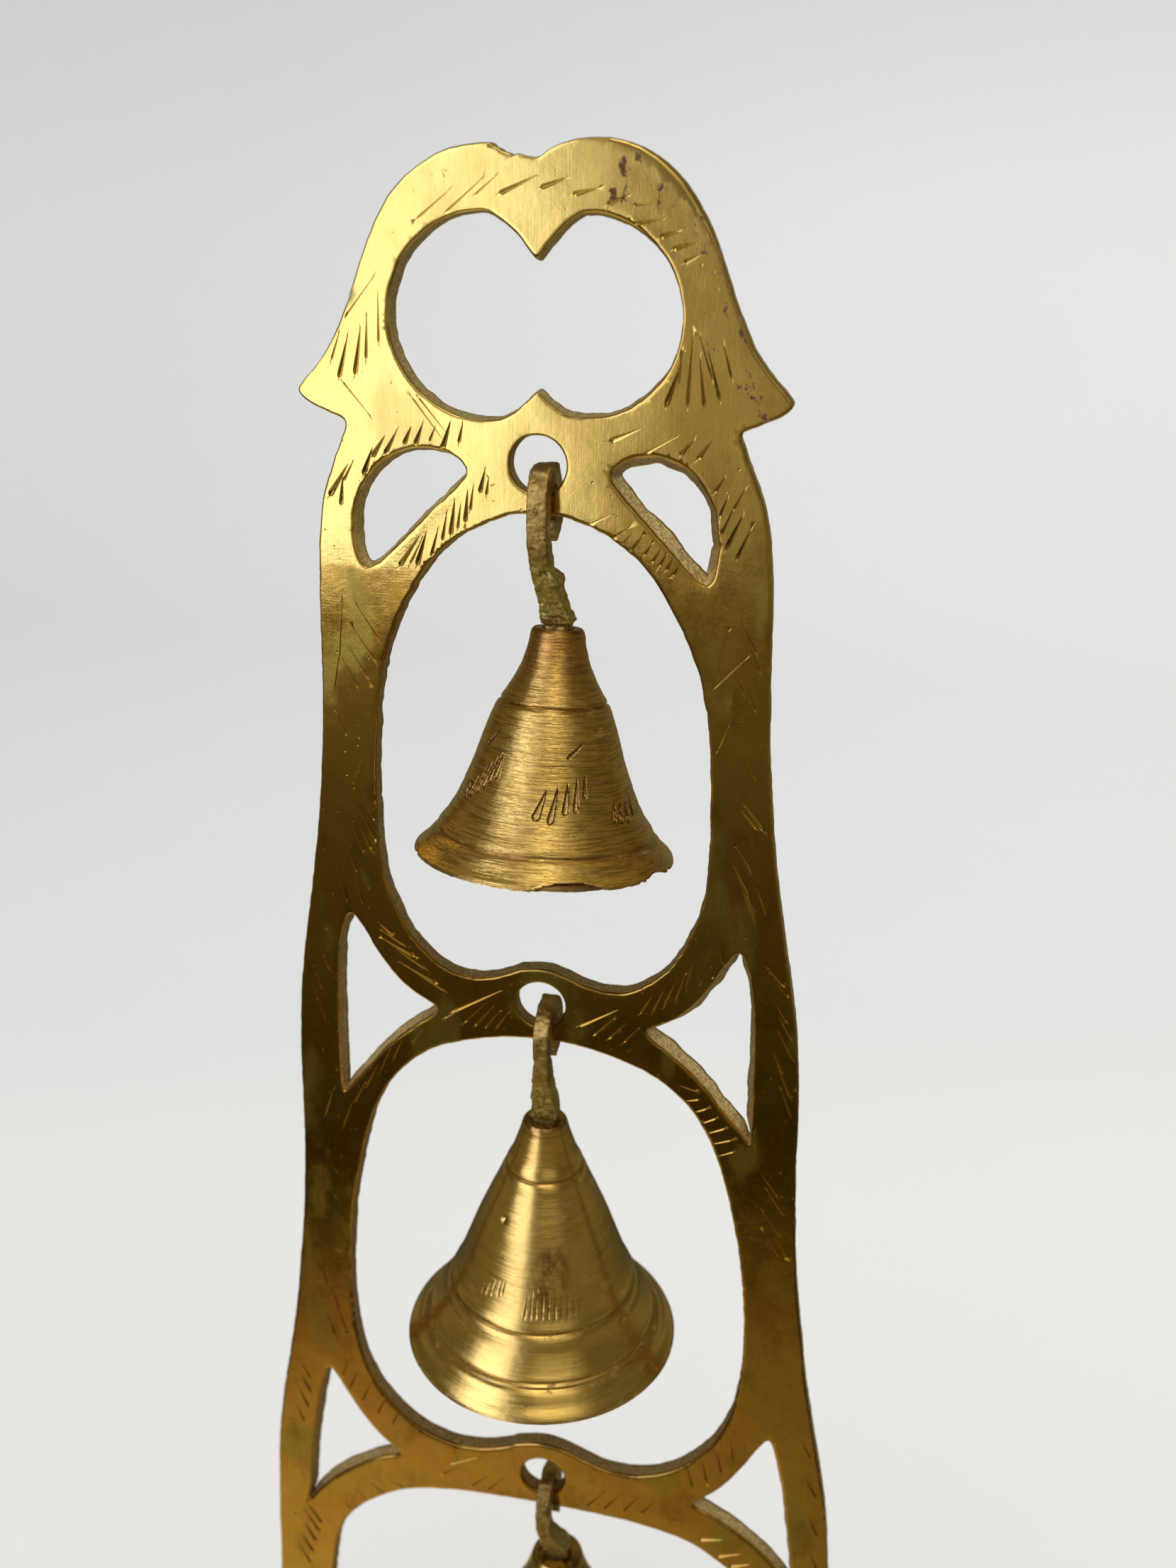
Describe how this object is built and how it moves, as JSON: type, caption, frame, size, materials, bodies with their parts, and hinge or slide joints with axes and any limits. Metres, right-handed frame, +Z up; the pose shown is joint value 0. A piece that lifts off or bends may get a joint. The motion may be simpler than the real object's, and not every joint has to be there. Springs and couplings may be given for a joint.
{
  "type": "wind chime",
  "caption": "Flat pierced brass hanging frame whose windows each hold a turned brass bell on a bent hook, with a wire and ball clapper inside every bell.",
  "frame": {"origin": "middle of the hanging opening at the top of the frame, on the frame's centre line and in its middle plane", "axes": "+Z up, front of the frame faces -Y, +X to the right seen from the front; hung plumb at rest"},
  "size_m": [0.1432, 0.0576, 0.3557],
  "materials": {
    "plate_brass": "polished cast face, tarnished olive and reddish in places",
    "bell_brass": "lathe-turned, fine rings",
    "hook_brass": "rough cast, dull",
    "wire": "dull drawn wire"
  },
  "bodies": {
    "frame": {"frame_plate": "plate_brass"},
    "hook_1": {"hook_1": "hook_brass"},
    "bell_1": {"bell_1": "bell_brass"},
    "clapper_1": {"clapper_wire_1": "wire", "clapper_ball_1": "hook_brass"},
    "hook_2": {"hook_2": "hook_brass"},
    "bell_2": {"bell_2": "bell_brass"},
    "clapper_2": {"clapper_wire_2": "wire", "clapper_ball_2": "hook_brass"},
    "hook_3": {"hook_3": "hook_brass"},
    "bell_3": {"bell_3": "bell_brass"},
    "clapper_3": {"clapper_wire_3": "wire", "clapper_ball_3": "hook_brass"}
  },
  "joints": [
    {"name": "hook_1_swing", "type": "hinge", "parent": "frame", "child": "hook_1", "pos_m": [0, 0, -0.0255], "axis": [1, 0, 0], "range_deg": [-60, 60]},
    {"name": "bell_1_swivel", "type": "hinge", "parent": "hook_1", "child": "bell_1", "pos_m": [0.0027, 0, -0.044], "axis": [0.0297, 0.1426, 0.9893], "continuous": true},
    {"name": "clapper_1_swing", "type": "hinge", "parent": "hook_1", "child": "clapper_1", "pos_m": [0.00251, -0.0009, -0.05028], "axis": [0.9996, -0.0042, -0.0294], "range_deg": [-21, 21]},
    {"name": "hook_2_swing", "type": "hinge", "parent": "frame", "child": "hook_2", "pos_m": [0, 0, -0.1136], "axis": [1, 0, 0], "range_deg": [-60, 60]},
    {"name": "bell_2_swivel", "type": "hinge", "parent": "hook_2", "child": "bell_2", "pos_m": [0.0004, 0, -0.1312], "axis": [0.0157, 0, 0.9999], "continuous": true},
    {"name": "clapper_2_swing", "type": "hinge", "parent": "hook_2", "child": "clapper_2", "pos_m": [0.0003, 0, -0.13755], "axis": [0.9999, 0, -0.0157], "range_deg": [-19.4, 19.4]},
    {"name": "hook_3_swing", "type": "hinge", "parent": "frame", "child": "hook_3", "pos_m": [0, 0, -0.2175], "axis": [1, 0, 0], "range_deg": [-60, 60]},
    {"name": "bell_3_swivel", "type": "hinge", "parent": "hook_3", "child": "bell_3", "pos_m": [0.0026, 0, -0.2322], "axis": [0.014, 0, 0.9999], "continuous": true},
    {"name": "clapper_3_swing", "type": "hinge", "parent": "hook_3", "child": "clapper_3", "pos_m": [0.00251, 0, -0.23855], "axis": [0.9999, 0, -0.014], "range_deg": [-19, 19]}
  ]
}
